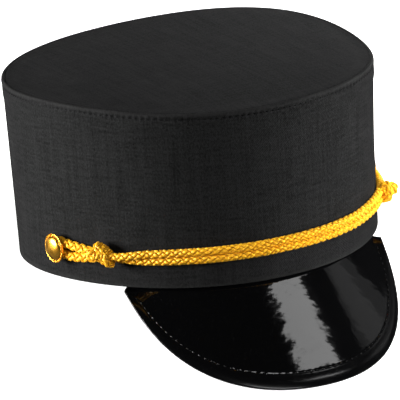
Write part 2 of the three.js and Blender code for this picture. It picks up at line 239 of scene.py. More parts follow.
# A row for each number of waves round the drum: how far the outline swells at the rim and at the top.
OUTLINE_SWELL = ((2, 2.0, 3.0), (3, 0.3, 0.5), (4, 0.4, -0.8))
# A row for each number of waves: how far the edge rises, counted from the front and from the side.
TOP_EDGE_WARP = ((1, -0.6, 0.3), (2, -0.4, -1.9), (3, 0.0, 0.6), (4, -0.3, 0.5))
RIM_WARP = ((2, 0.3, 0), (3, -0.7, 0), (4, 0.3, 0))
LEAN_BACK = math.radians(11.469087)
RESTING_PLACE = Vector((-1.777, 17.190, 17.797))
TO_ROW = (
    Matrix.Translation(RESTING_PLACE * MM)
    @ Matrix.Rotation(-LEAN_BACK, 4, "X")
    @ Matrix.Diagonal((MM, MM, MM, 1))
)


def lerp(a, b, share):
    return a + (b - a) * share


def smooth(value, low, high):
    share = min(max((value - low) / (high - low), 0), 1)
    return share * share * (3 - 2 * share)


def drum_radius(azimuth, level):
    swell = sum(lerp(rim, top, level) * math.cos(waves * azimuth) for waves, rim, top in OUTLINE_SWELL)
    return RIM_RADIUS + TOP_FLARE * level + swell


def edge_warp(rows, azimuth):
    return sum(front * math.cos(n * azimuth) + side * math.sin(n * azimuth) for n, front, side in rows)


def drum_point(azimuth, level, rise, inset):
    """A point on or in the wall. The level is 0 at the rim and 1 at the top edge."""
    radius = drum_radius(azimuth, level) - inset - WAIST * math.sin(math.pi * min(level, 1))
    top = CROWN_HEIGHT + edge_warp(TOP_EDGE_WARP, azimuth)
    height = lerp(edge_warp(RIM_WARP, azimuth), top, level) + rise
    return Vector((radius * math.sin(azimuth), -radius * math.cos(azimuth) - TOP_FORWARD * level, height))


def on_wall(azimuth, height, stand_off):
    return drum_point(azimuth, height / CROWN_HEIGHT, 0, -stand_off)


def directions(azimuth):
    """Along the wall, up, and out of it."""
    along = Vector((math.cos(azimuth), math.sin(azimuth), 0))
    return along, Vector((0, 0, 1)), Vector((along.y, -along.x, 0))


print("rim radius", round(RIM_RADIUS, 2), "mm")

# %% [markdown]
# Most pieces are a grid of points: rows of a section, and columns round or along the piece. One helper
# makes the closed mesh and gives it a UV map in metres, so that a weave follows the surface at its true
# size. Another joins a finished piece to the frame.

# %% Helpers for meshes
def grid_mesh(rows, chart, mark, marked, closed_rows, closed_columns=True):
    """rows[j][i] are points in the cap's frame, chart(j, i) is a point's place on the cloth in metres, and
    marked(j, i) is the value of the attribute that mark names."""
    height, width = len(rows), len(rows[0])
    shape = bmesh.new()
    cloth_map = shape.loops.layers.uv.new("metres")
    layer = shape.verts.layers.float.new(mark)
    points = [[shape.verts.new(TO_ROW @ p) for p in row] for row in rows]
    for j, row in enumerate(points):
        for i, vert in enumerate(row):
            vert[layer] = marked(j, i)
    for j in range(height if closed_rows else height - 1):
        for i in range(width if closed_columns else width - 1):
            corners = ((j, i), (j, i + 1), (j + 1, i + 1), (j + 1, i))
            face = shape.faces.new([points[a % height][b % width] for a, b in corners])
            for loop, (a, b) in zip(face.loops, corners):
                loop[cloth_map].uv = chart(a, b)
    return shape, points


def finished(name, shape, material):
    bmesh.ops.recalc_face_normals(shape, faces=shape.faces)
    mesh = bpy.data.meshes.new(name)
    shape.to_mesh(mesh)
    shape.free()
    mesh.shade_smooth()
    mesh.materials.append(material)
    return put_in_scene(name, mesh)


def running_length(points):
    """How far along a line each of its points lies."""
    lengths = [0.0]
    for here, following in zip(points, points[1:]):
        lengths.append(lengths[-1] + (following - here).length)
    return lengths


def join(piece, slot, *nodes):
    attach(piece, "root")
    if nodes:
        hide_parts(*nodes)
    piece.data.calc_loop_triangles()
    print(piece.name, len(piece.data.loop_triangles), "triangles")


print("helpers: grid_mesh, finished, running_length, join")

# %% [markdown]
# Cloth, thread and patent sheet all pick up lint and fine scratches, and every one needs a slow change of
# shade as well. These are groups, built once and placed in each material with its own values.

# %% A group for lint and slow shading
def new_group(name, kind, inputs, outputs):
    """An empty node group with named inputs and outputs, and the sockets at its two ends."""
    tree = bpy.data.node_groups.new(name, kind)
    for label, socket_kind, value in inputs:
        socket = tree.interface.new_socket(label, in_out="INPUT", socket_type=socket_kind)
        if value is not None:
            socket.default_value = value
    for label, socket_kind in outputs:
        tree.interface.new_socket(label, in_out="OUTPUT", socket_type=socket_kind)
    return tree, tree.nodes.new("NodeGroupInput").outputs, tree.nodes.new("NodeGroupOutput").inputs


FLOAT = "NodeSocketFloat"
VECTOR = "NodeSocketVector"


def lint_group():
    tree, given, out = new_group(
        "lint_and_shade",
        "ShaderNodeTree",
        [("Place", VECTOR, None), ("Lint scale", FLOAT, 900.0), ("Shade scale", FLOAT, 30.0)],
        [("Lint", FLOAT), ("Shade", FLOAT)],
    )
    fine = noise(tree, given["Place"], given["Lint scale"], 2.0)
    tree.links.new(spread(tree, fine, 0.66, 0.76, 0.0, 1.0), out["Lint"])
    slow = noise(tree, given["Place"], given["Shade scale"], 4.0)
    tree.links.new(spread(tree, slow, 0.3, 0.7, 0.0, 1.0), out["Shade"])
    return tree


LINT = lint_group()
print("group:", LINT.name)

# %% [markdown]
# Twill shows fine diagonal ribs: each weft thread passes over two warps and under two, one step further on
# in each row. Two sines across the cloth's own map give the ribs and the threads in them, with a little
# noise so that the ribs aren't ruled lines. Uneven yarns, which a weaver calls slubs, are streaks of noise
# along the warp and the weft, and they are what still shows of the weave from a few steps away.

# %% A group for twill
# How fast the noise changes across the weft, along the warp and in depth: long warp and weft streaks.
SLUB_STREAKS = ((520.0, 25.0, 0.0), (70.0, 640.0, 5.0))


def twill_group():
    tree, given, out = new_group(
        "twill",
        "ShaderNodeTree",
        [("Cloth map", VECTOR, None), ("Rib spacing", FLOAT, 0.0009)],
        [("Height", FLOAT), ("Slub", FLOAT)],
    )
    cloth_map = given["Cloth map"]
    share = maths(tree, "DIVIDE", 2 * math.pi, given["Rib spacing"])
    ribs = vectors(tree, "DOT_PRODUCT", cloth_map, (1.0, 1.0, 0.0))
    threads = vectors(tree, "DOT_PRODUCT", cloth_map, (1.6, -1.2, 0.0))
    drift = maths(tree, "MULTIPLY", noise(tree, cloth_map, 700.0, 1.0), 2.4)
    rib = maths(tree, "SINE", maths(tree, "MULTIPLY_ADD", ribs, share, drift))
    thread = maths(tree, "SINE", maths(tree, "MULTIPLY", threads, share))
    woven = maths(tree, "MULTIPLY_ADD", thread, 0.35, rib)
    uneven = noise(tree, vectors(tree, "MULTIPLY", cloth_map, (1150.0, 700.0, 0.0)), 1.0, 2.0, 0.8)
    for streak in SLUB_STREAKS:
        yarns = noise(tree, vectors(tree, "MULTIPLY", cloth_map, streak), 1.0, 1.0)
        uneven = maths(tree, "MULTIPLY_ADD", yarns, 0.32, uneven)
    tree.links.new(spread(tree, woven, -1.35, 1.35, 0.0, 1.0), out["Height"])
    tree.links.new(spread(tree, uneven, 0.64, 1.0, 0.0, 1.0), out["Slub"])
    return tree


def place_group(tree, which, inputs):
    return add(tree, "ShaderNodeGroup", inputs, node_tree=which).outputs


TWILL = twill_group()
print("group:", TWILL.name)

# %% [markdown]
# The crown's cloth is a charcoal black twill with hardly any shine. It gets the twill as a bump, a little
# lint, a slow change of shade, and paler wear on its folded edges, which the mesh marks as an attribute.

# %% The crown's cloth
def new_paint(name):
    paint = bpy.data.materials.new(name)
    paint.use_nodes = True
    tree = paint.node_tree
    return paint, tree, tree.nodes["Principled BSDF"]


def grey(value):
    return (value, value, value)


def shade_mix(tree, share, first, second):
    colours = [c if isinstance(c, bpy.types.NodeSocket) else (*c, 1) for c in (first, second)]
    return add(tree, "ShaderNodeMix", {0: share, 6: colours[0], 7: colours[1]}, data_type="RGBA").outputs[2]


def bump(tree, strength, distance, height):
    inputs = {"Strength": strength, "Distance": distance, "Height": height}
    return add(tree, "ShaderNodeBump", inputs).outputs[0]


def crown_cloth():
    paint, tree, surface = new_paint("black_twill")
    cloth_map = add(tree, "ShaderNodeUVMap", uv_map="metres").outputs[0]
    place = add(tree, "ShaderNodeTexCoord").outputs["Object"]
    twill = place_group(tree, TWILL, {"Cloth map": cloth_map})
    lint = place_group(tree, LINT, {"Place": place, "Lint scale": 1300.0, "Shade scale": 45.0})
    worn = add(tree, "ShaderNodeAttribute", attribute_name="worn").outputs["Fac"]
    tone = shade_mix(tree, lint["Shade"], grey(0.0032), grey(0.005))
    for mask, share, colour in (
        (twill["Slub"], 0.85, grey(0.0205)),
        (twill["Height"], 0.35, grey(0.0145)),
        (worn, 0.45, (0.028, 0.028, 0.027)),
        (lint["Lint"], 0.25, (0.06, 0.06, 0.058)),
    ):
        tone = shade_mix(tree, maths(tree, "MULTIPLY", mask, share), tone, colour)
    relief = maths(tree, "MULTIPLY_ADD", twill["Slub"], 0.5, twill["Height"])
    feed(tree, surface, {
        "Base Color": tone,
        "Roughness": spread(tree, lint["Shade"], 0.0, 1.0, 0.82, 0.94),
        "Specular IOR Level": 0.02,
        "Sheen Weight": 0.004,
        "Sheen Roughness": 0.5,
        "Normal": bump(tree, 0.9, 0.00016, relief),
    })
    return paint


BLACK_TWILL = crown_cloth()
print("material:", BLACK_TWILL.name)

# %% [markdown]
# The drum's wall is one band of cloth, folded under at the rim and topstitched just below the top edge. The
# section below runs up the outside, over the seam's raised ridge, down the crease that the top panel is
# sewn in, and back down inside. Between the stitches the cloth puffs out a little, the flat part of the
# wall has slow, shallow hollows, and a faint crease at the back is where the band's two ends are joined.
# A subdivided box could be sculpted instead, but a section is exact.

# %% The crown's wall
STITCHES_ROUND = 188
WALL_COLUMNS = STITCHES_ROUND * 4
STITCH_DROP = 2.8
STITCH_PULL = 0.3
PUFF = 0.12
BACK_SEAM_DEPTH = 0.35
# Pairs of a height above the top edge and a distance in from the wall's face
SEAM_RIDGE = (
    (-8.0, 0.0), (-5.6, 0.0), (-4.5, 0.0), (-3.7, 0.02), (-3.2, 0.14), (-2.8, 0.22), (-2.4, 0.1),
    (-2.0, -0.05), (-1.5, -0.13), (-1.0, -0.12), (-0.5, 0.0), (-0.15, 0.25), (0.0, 0.6), (0.0, 0.95),
    (-0.1, 1.3), (-0.45, 1.7), (-1.0, 2.0), (-1.8, 2.2),
)
RIM_FOLD = (
    (0.75, 0.0), (0.35, 0.1), (0.1, 0.35), (0.0, 0.75),
    (0.0, 1.4), (0.1, 1.85), (0.35, 2.1), (0.75, 2.2),
)


def hollows(azimuth, level):
    """Slow, shallow hollows of a stiffened cloth, fading out towards both edges."""
    slow = 0.16 * math.sin(5 * azimuth + 1.1 + 2.3 * level) + 0.12 * math.sin(9 * azimuth - 0.6 - 3.1 * level)
    quick = 0.05 * math.sin(17 * azimuth + 5.0 * level)
    return (slow + quick) * math.sin(math.pi * min(max(level, 0), 1))


def wall_rows():
    """The section as (level, rise, inset, how worn), from the rim up the outside and down the inside."""
    rows = [(0, rise, inset, 0.8) for rise, inset in reversed(RIM_FOLD[:4])]
    rows += [(0, 1.6, 0.0, 0.25)]
    rows += [(level / 24, 0, 0, 0) for level in range(1, 22)]
    rows += [(1, rise, inset, smooth(rise, -2.6, -0.6) * 0.8) for rise, inset in SEAM_RIDGE]
    rows += [(level / 6, 0, CLOTH, 0) for level in range(5, 0, -1)]
    rows += [(0, rise, inset, 0.3) for rise, inset in reversed(RIM_FOLD[4:])]
    return rows


def wall_point(azimuth, level, rise, inset):
    if level == 1:
        phase = math.cos(azimuth * STITCHES_ROUND)
        pulled = STITCH_PULL * math.exp(-((rise + STITCH_DROP) / 0.6) ** 2)
        puffed = PUFF * math.exp(-((rise + STITCH_DROP / 2) / 0.9) ** 2)
        return drum_point(azimuth, level, rise, inset + (pulled + puffed) * phase)
    sag = hollows(azimuth, level) if inset < CLOTH / 2 else hollows(azimuth, level) * 0.6
    from_back = (math.pi - abs(azimuth)) * RIM_RADIUS
    back_seam = BACK_SEAM_DEPTH * math.exp(-(from_back / 0.7) ** 2) * smooth(inset, 1.1, 0)
    return drum_point(azimuth, level, rise, inset + sag + back_seam)


def crown_wall():
    section = wall_rows()
    azimuths = [2 * math.pi * i / WALL_COLUMNS - math.pi for i in range(WALL_COLUMNS)]
    rows = [[wall_point(a, level, rise, inset) for a in azimuths] for level, rise, inset, worn in section]
    lengths = running_length([row[0] for row in rows + rows[:1]])
    around = 2 * math.pi * RIM_RADIUS / WALL_COLUMNS

    def chart(j, i):
        return i * around * MM, lengths[j] * MM

    def worn(j, i):
        return section[j][3] * (0.7 + 0.3 * math.sin(i * 0.11) * math.sin(i * 0.037))

    shape, points = grid_mesh(rows, chart, "worn", worn, closed_rows=True)
    join(finished("crown_wall", shape, BLACK_TWILL), "crown_cloth", "crown_side")


crown_wall()

# %% [markdown]
# The top is a disc of the same cloth, sewn in just inside the edge. It is flat in the middle and follows
# the warped edge further out, with a crease where it goes down into the seam. Rings of one outline,
# shrunk towards the middle, make it, and its underside is the same cloth.

# %% The top panel
PANEL_SHARES = (
    0.02, 0.1, 0.2, 0.3, 0.4, 0.5, 0.6, 0.7, 0.78, 0.85, 0.9, 0.94, 0.965, 0.98, 0.986, 0.991, 0.996, 1.0,
)
PANEL_INSET = 1.4
PANEL_COLUMNS = 256
PANEL_TURN = 11  # the ring where the panel starts to turn down, which wears first


def panel_point(azimuth, share, sink):
    edge = drum_point(azimuth, 1, 0, PANEL_INSET)
    bend = smooth(share, 0.5, 1)
    crease = 0.5 * smooth(share, 0.987, 1.0) - 0.26
    height = CROWN_HEIGHT + edge_warp(TOP_EDGE_WARP, azimuth) * bend + TOP_PANEL_DOME * (1 - bend) - GAP
    slow = 0.14 * math.sin(3 * azimuth + 0.8) * math.sin(5 * share) * (1 - bend)
    return Vector((
        edge.x * share,
        (edge.y + TOP_FORWARD) * share - TOP_FORWARD,
        height + slow - crease - sink,
    ))


def crown_panel():
    azimuths = [2 * math.pi * i / PANEL_COLUMNS for i in range(PANEL_COLUMNS)]
    above = [[panel_point(a, share, 0) for a in azimuths] for share in PANEL_SHARES]
    below = [[panel_point(a, share, CLOTH) for a in azimuths] for share in reversed(PANEL_SHARES)]
    rows = above + below

    def chart(j, i):
        spot = rows[j][i % PANEL_COLUMNS]
        return spot.x * MM, spot.y * MM

    def worn(j, i):
        return 0.2 if j == PANEL_TURN else 0

    shape, points = grid_mesh(rows, chart, "worn", worn, closed_rows=False)
    flat = shape.loops.layers.uv.active
    for ring in (points[0], points[-1]):
        middle = shape.verts.new(sum((v.co for v in ring), Vector()) / len(ring))
        for a, b in zip(ring, ring[1:] + ring[:1]):
            for loop in shape.faces.new((a, b, middle)).loops:
                loop[flat].uv = (loop.vert.co.x, loop.vert.co.y)
    join(finished("crown_panel", shape, BLACK_TWILL), "crown_cloth", "crown_top")


crown_panel()

# %% [markdown]
# A row of thread stitches holds the seam. Each stitch is a short thread that dips into the cloth at both
# ends, so a stretched bead is enough. The tree walks along the seam line, drops a bead at each step and
# turns it along the line. Modelling each stitch by hand would be slow, and they would never be even.

# %% A tree for stitches and beads along a line
GEOMETRY = "NodeSocketGeometry"


def tree_along_line(name, inputs):
    return new_group(name, "GeometryNodeTree", [("Line", GEOMETRY, None), *inputs], [("Made", GEOMETRY)])


def painted(tree, geometry, material):
    """The tree's end: real geometry, smooth and with its material."""
    solid = add(tree, "GeometryNodeRealizeInstances", {0: geometry})
    rounded = add(tree, "GeometryNodeSetShadeSmooth", {0: solid.outputs[0]})
    done = add(tree, "GeometryNodeSetMaterial", {"Geometry": rounded.outputs[0], "Material": material})
    return done.outputs[0]


def beads_tree():
    tree, given, out = tree_along_line("beads_along_a_line", [
        ("Count", "NodeSocketInt", 100),
        ("Length", FLOAT, 0.002),
        ("Width", FLOAT, 0.0005),
        ("Height", FLOAT, 0.0005),
        ("Material", "NodeSocketMaterial", None),
    ])
    curve = add(tree, "GeometryNodeMeshToCurve", {0: given["Line"]}).outputs[0]
    steps = add(tree, "GeometryNodeCurveToPoints", {"Curve": curve, "Count": given["Count"]}, mode="COUNT")
    outward = add(tree, "GeometryNodeInputNamedAttribute", {"Name": "outward"}, data_type="FLOAT_VECTOR")
    turn = add(tree, "FunctionNodeAxesToRotation", {
        "Primary Axis": steps.outputs["Tangent"],
        "Secondary Axis": outward.outputs["Attribute"],
    }, primary_axis="X", secondary_axis="Z")
    bead = add(tree, "GeometryNodeMeshUVSphere", {"Segments": 8, "Rings": 6, "Radius": 0.5})
    size = add(tree, "ShaderNodeCombineXYZ", {0: given["Length"], 1: given["Width"], 2: given["Height"]})
    placed = add(tree, "GeometryNodeInstanceOnPoints", {
        "Points": steps.outputs["Points"],
        "Instance": bead.outputs["Mesh"],
        "Rotation": turn.outputs[0],
        "Scale": size.outputs[0],
    })
    tree.links.new(painted(tree, placed.outputs[0], given["Material"]), out["Made"])
    return tree


def grown(name, tree, line, settings):
    """Runs a tree on a line's mesh and keeps what it makes as a plain mesh."""
    source = put_in_scene(name + "_line", line)
    modifier = source.modifiers.new("tree", "NODES")
    modifier.node_group = tree
    for item in tree.interface.items_tree:
        if item.in_out == "INPUT" and item.name in settings:
            modifier[item.identifier] = settings[item.name]
    depsgraph = bpy.context.evaluated_depsgraph_get()
    mesh = bpy.data.meshes.new_from_object(source.evaluated_get(depsgraph), depsgraph=depsgraph)
    bpy.data.objects.remove(source)
    mesh.name = name
    return put_in_scene(name, mesh)


def line_mesh(name, points, outward, closed):
    """A line in the row frame; outward gives the way out of the surface at each point."""
    count = len(points)
    edges = [(i, (i + 1) % count) for i in range(count if closed else count - 1)]
    mesh = bpy.data.meshes.new(name)
    mesh.from_pydata([TO_ROW @ p for p in points], edges, [])
    turned = TO_ROW.to_3x3()
    way = mesh.attributes.new("outward", "FLOAT_VECTOR", "POINT")
    for i, direction in enumerate(outward):
        way.data[i].vector = (turned @ direction).normalized()
    return mesh


BEADS = beads_tree()
print("tree:", BEADS.name)

# %% [markdown]
# The thread is black too, but tighter and a little shinier than the twill, so the stitches read as small
# dark dots with a point of light.

# %% The thread and the topstitching
def thread(name, dark, pale, rough, shine):
    paint, tree, surface = new_paint(name)
    place = add(tree, "ShaderNodeTexCoord").outputs["Object"]
    lint = place_group(tree, LINT, {"Place": place, "Lint scale": 2600.0, "Shade scale": 300.0})
    tone = shade_mix(tree, lint["Shade"], grey(dark), grey(pale))
    feed(tree, surface, {
        "Base Color": shade_mix(tree, lint["Lint"], tone, grey(0.01)),
        "Roughness": spread(tree, lint["Shade"], 0.0, 1.0, rough, rough + 0.2),
        "Specular IOR Level": shine,
        "Normal": bump(tree, 0.5, 0.00008, lint["Shade"]),
    })
    return paint


BLACK_THREAD = thread("black_thread", 0.0012, 0.003, 0.6, 0.1)
SEAM_LINE_POINTS = 720


def seam_line(rise, inset):
    azimuths = [2 * math.pi * i / SEAM_LINE_POINTS for i in range(SEAM_LINE_POINTS)]
    points = [drum_point(a, 1, rise, inset) for a in azimuths]
    return line_mesh("seam_line", points, [directions(a)[2] for a in azimuths], True)


topstitching = grown("topstitching", BEADS, seam_line(-STITCH_DROP, 0.2), {
    "Count": STITCHES_ROUND,
    "Length": 1.7 * MM,
    "Width": 1.0 * MM,
    "Height": 0.6 * MM,
    "Material": BLACK_THREAD,
})
join(topstitching, "crown_cloth")

# %% [markdown]
# The visor has a mirror-like patent finish, which is a smooth black skin on a stiff sheet. What makes it read
# as real are the reflections' ragged edges, so a shallow ripple in the bump bends them. The binding round
# the edge is a little duller than the sheet. Its waxed thread is black too, but shines.

# %% The visor's patent finish
def visor_patent():
    paint, tree, surface = new_paint("black_patent")
    place = add(tree, "ShaderNodeTexCoord").outputs["Object"]
    lint = place_group(tree, LINT, {"Place": place, "Lint scale": 1500.0, "Shade scale": 24.0})
    dust = maths(tree, "MULTIPLY", lint["Lint"], 0.03)
    bound = add(tree, "ShaderNodeAttribute", attribute_name="binding").outputs["Fac"]
    polish = spread(tree, lint["Shade"], 0.0, 1.0, 0.035, 0.07)
    grain = noise(tree, place, 1100.0, 2.0)
    height = maths(tree, "MULTIPLY_ADD", grain, 0.05, noise(tree, place, 110.0, 2.0))
    feed(tree, surface, {
        "Base Color": shade_mix(tree, dust, (0.001, 0.001, 0.0011), grey(0.3)),
        "Roughness": maths(tree, "MULTIPLY_ADD", bound, 0.11, polish),
        "Specular IOR Level": 0.48,
        "Normal": bump(tree, 0.5, 0.00022, height),
    })
    return paint


BLACK_PATENT = visor_patent()
WAXED_THREAD = thread("waxed_thread", 0.001, 0.008, 0.22, 0.6)
print("materials:", BLACK_PATENT.name, WAXED_THREAD.name)

# %% [markdown]
# The visor is a ruled surface: straight lines run from the rim to the edge, and fan out a little. A binding
# nine millimetres wide goes round the edge and bulges slightly. A sewn line holds its inner side, with a
# dimple for each stitch. A section is worked out at each of many places from one tip to the other, and the
# grid helper joins them. A flat sheet could be bent by a modifier, but its edge would be hard to place.

# %% The visor's shape
VISOR_THICKNESS = 1.5
VISOR_ROOT = (92.5, 2)  # the radius of the line that the reach starts from, and its swell
VISOR_REACH = 47
VISOR_DROP = 45.4
VISOR_TUCK = 9.2  # how far the edge's line would climb above the rim at its two ends
VISOR_SPAN = math.radians(52.9)
VISOR_TIP = 0.93  # the share of the span that shows below the rim
REACH_ROUNDNESS = 1.81
DROP_ROUNDNESS = 2.64
VISOR_FAN = 0.7
VISOR_FLANGE = 7
WELT_INSET = 9
WELT_STITCH = 3.6
BINDING_BULGE = 0.38
BINDING_ROWS = range(34, 59)  # the section's rows from the sewn line out and round the edge
VISOR_COLUMNS = 420


def visor_edge(u):
    azimuth = VISOR_SPAN * u
    inner = drum_point(azimuth, 0, -GAP, CLOTH + GAP)
    reach = VISOR_REACH * (1 - abs(u) ** REACH_ROUNDNESS)
    drop = (VISOR_DROP + VISOR_TUCK) * (1 - abs(u) ** DROP_ROUNDNESS) - VISOR_TUCK
    way = Vector((math.sin(azimuth * VISOR_FAN), -math.cos(azimuth * VISOR_FAN), 0))
    root = VISOR_ROOT[0] + VISOR_ROOT[1] * math.cos(2 * azimuth)
    edge = Vector((root * math.sin(azimuth), -root * math.cos(azimuth), 0)) + way * reach
    edge.z = min(-drop, inner.z - GAP)
    return azimuth, inner, edge, way


def visor_section(u, stitch_phase):
    azimuth, inner, edge, way = visor_edge(u)
    run = edge - inner
    length = run.length
    run.normalize()
    inwards = way * run.z
    inwards.z = -math.hypot(run.x, run.y)
    welt = length - min(WELT_INSET, length / 2)
    size = smooth(length, 8, 20)
    border = length - VISOR_THICKNESS / 2

    def sheet_point(distance, sink=0.0):
        return inner + run * distance + inwards * sink

    def flange(rise, inset):
        return drum_point(azimuth, 0, rise, CLOTH + GAP + inset)

    section = [flange(rise, 0) for rise in (VISOR_FLANGE, 4.5, 2, 0.4)]
    section += [sheet_point(lerp(0.15, welt - 1.7, i / 24)) for i in range(25)]
    dimple = 0.5 + 0.3 * math.cos(stitch_phase) + 0.25 * math.sin(stitch_phase / 3.7) * math.cos(stitch_phase)
    for offset in (-1.0, -0.7, -0.45, -0.2, 0, 0.2, 0.45, 0.7, 1.0):
        depth = 0.34 * math.exp(-((offset / 0.42) ** 2)) * dimple
        section.append(sheet_point(welt + offset * min(size + 0.2, 1), depth * size))
    half = VISOR_THICKNESS / 2
    for i in range(13):
        across = i / 12
        bulge = BINDING_BULGE * size * math.sin(math.pi * across) * (0.7 + 0.3 * across)
        section.append(sheet_point(lerp(welt + 1.2 * size + 0.1, border, across), -bulge))
    for i in range(1, 8):
        turn = math.pi * i / 8
        section.append(sheet_point(border + half * math.sin(turn), half - half * math.cos(turn)))
    section += [sheet_point(lerp(border, 1.2, i / 10), VISOR_THICKNESS) for i in range(11)]
    section += [flange(rise, VISOR_THICKNESS) for rise in (0.2, 2, 4.5, VISOR_FLANGE)]
    return section


def visor():
    shares = [VISOR_TIP * (2 * i / VISOR_COLUMNS - 1) for i in range(VISOR_COLUMNS + 1)]
    travelled = running_length([visor_edge(u)[2] for u in shares])
    columns = [visor_section(u, 2 * math.pi * s / WELT_STITCH) for u, s in zip(shares, travelled)]
    rows = [list(row) for row in zip(*columns)]
    lengths = running_length([row[VISOR_COLUMNS // 2] for row in rows + rows[:1]])

    def chart(j, i):
        return travelled[i] * MM, lengths[j] * MM

    def bound(j, i):
        return 1 if j in BINDING_ROWS else 0

    shape, points = grid_mesh(rows, chart, "binding", bound, closed_rows=True, closed_columns=False)
    for i in (0, -1):
        tip = shape.faces.new([row[i] for row in points])
        bmesh.ops.triangulate(shape, faces=[tip])
    join(finished("visor_sheet", shape, BLACK_PATENT), "visor_patent", "visor")


def welt_thread():
    """The line of waxed thread in the groove on the binding's inner side."""
    line, outward = [], []
    for i in range(401):
        azimuth, inner, edge, way = visor_edge(lerp(-0.86, 0.86, i / 400))
        run = edge - inner
        length = run.length
        run.normalize()
        upwards = Vector((-way.x * run.z, -way.y * run.z, math.hypot(run.x, run.y)))
        line.append(inner + run * (length - min(WELT_INSET, length / 2)) - upwards * 0.1)
        outward.append(upwards)
    stitches = grown("welt_stitches", BEADS, line_mesh("welt_line", line, outward, False), {
        "Count": round(running_length(line)[-1] / WELT_STITCH),
        "Length": 1.5 * MM,
        "Width": 0.52 * MM,
        "Height": 0.5 * MM,
        "Material": WAXED_THREAD,
    })
    join(stitches, "visor_patent")


visor()
welt_thread()

# %% [markdown]
# The cord is a round braid of shiny rayon: eight flat strands, four winding each way, that pass over and
# under one another. The tree copies the cord's line eight times, winds each copy round the line, lifts it
# and sinks it at the crossings, and sweeps a flat section along it with its broad side turned outwards. A
# bump on a plain tube would look printed on where the cord bends, and its outline would stay smooth.

# %% A tree for braided cord
STRANDS = 8


def braid_tree():
    tree, given, out = tree_along_line("braided_cord", [
        ("Step", FLOAT, 0.00055),
        ("Pitch", FLOAT, 0.0165),
        ("Winding radius", FLOAT, 0.0013),
        ("Weave depth", FLOAT, 0.0004),
        ("Strand width", FLOAT, 0.0018),
        ("Strand thickness", FLOAT, 0.001),
        ("Material", "NodeSocketMaterial", None),
    ])
    curve = add(tree, "GeometryNodeMeshToCurve", {0: given["Line"]}).outputs[0]
    steps = add(tree, "GeometryNodeResampleCurve", {"Curve": curve, "Length": given["Step"]}, mode="LENGTH")
    straight = add(tree, "GeometryNodeSetCurveNormal", {"Curve": steps.outputs[0]}, mode="MINIMUM_TWIST")
    kept = add(tree, "GeometryNodeCaptureAttribute", domain="POINT")
    for kind, label in (("VECTOR", "Tangent"), ("VECTOR", "Normal"), ("FLOAT", "Length")):
        kept.capture_items.new(kind, label)
    feed(tree, kept, {
        "Geometry": straight.outputs[0],
        "Tangent": add(tree, "GeometryNodeInputTangent").outputs[0],
        "Normal": add(tree, "GeometryNodeInputNormal").outputs[0],
        "Length": add(tree, "GeometryNodeSplineParameter").outputs["Length"],
    })
    copies = add(tree, "GeometryNodeDuplicateElements", {
        "Geometry": kept.outputs["Geometry"], "Amount": STRANDS,
    }, domain="SPLINE")
    index = copies.outputs["Duplicate Index"]
    way = maths(tree, "MULTIPLY_ADD", maths(tree, "MODULO", index, 2.0), -2.0, 1.0)
    pair = maths(tree, "FLOOR", maths(tree, "DIVIDE", index, 2.0))
    start = maths(tree, "MULTIPLY", pair, 4 * math.pi / STRANDS)
    pitches = maths(tree, "DIVIDE", kept.outputs["Length"], given["Pitch"])
    turned = maths(tree, "MULTIPLY", pitches, 2 * math.pi)
    angle = maths(tree, "MULTIPLY_ADD", turned, way, start)
    over_and_under = maths(tree, "COSINE", maths(tree, "MULTIPLY", turned, STRANDS / 2))
    wave = maths(tree, "MULTIPLY", over_and_under, way)
    radius = maths(tree, "MULTIPLY_ADD", wave, given["Weave depth"], given["Winding radius"])
    across = vectors(tree, "CROSS_PRODUCT", kept.outputs["Tangent"], kept.outputs["Normal"])
    outward = vectors(
        tree, "ADD",
        vectors(tree, "SCALE", kept.outputs["Normal"], scale=maths(tree, "COSINE", angle)),
        vectors(tree, "SCALE", across, scale=maths(tree, "SINE", angle)),
    )
    wound = add(tree, "GeometryNodeSetPosition", {
        "Geometry": copies.outputs["Geometry"],
        "Offset": vectors(tree, "SCALE", outward, scale=radius),
    })
    facing = add(tree, "GeometryNodeSetCurveNormal", {
        "Curve": wound.outputs[0], "Normal": outward,
    }, mode="FREE")
    along = add(tree, "ShaderNodeCombineXYZ", {0: kept.outputs["Length"], 1: index, 2: wave})
    marked = add(tree, "GeometryNodeStoreNamedAttribute", {
        "Geometry": facing.outputs[0], "Name": "along", "Value": along.outputs[0],
    }, data_type="FLOAT_VECTOR", domain="POINT")
    circle = add(tree, "GeometryNodeCurvePrimitiveCircle", {"Resolution": 8, "Radius": 0.5}, mode="RADIUS")
    flat = add(tree, "ShaderNodeCombineXYZ", {0: given["Strand thickness"], 1: given["Strand width"], 2: 1.0})
    section = add(tree, "GeometryNodeTransform", {
        "Geometry": circle.outputs["Curve"], "Scale": flat.outputs[0],
    })
    round_it = add(tree, "GeometryNodeStoreNamedAttribute", {
        "Geometry": section.outputs[0],
        "Name": "around",
        "Value": add(tree, "GeometryNodeSplineParameter").outputs["Factor"],
    }, data_type="FLOAT", domain="POINT")
    swept = add(tree, "GeometryNodeCurveToMesh", {
        "Curve": marked.outputs[0], "Profile Curve": round_it.outputs[0], "Fill Caps": True,
    })
    tree.links.new(painted(tree, swept.outputs[0], given["Material"]), out["Made"])
    return tree


BRAID = braid_tree()
print("tree:", BRAID.name)
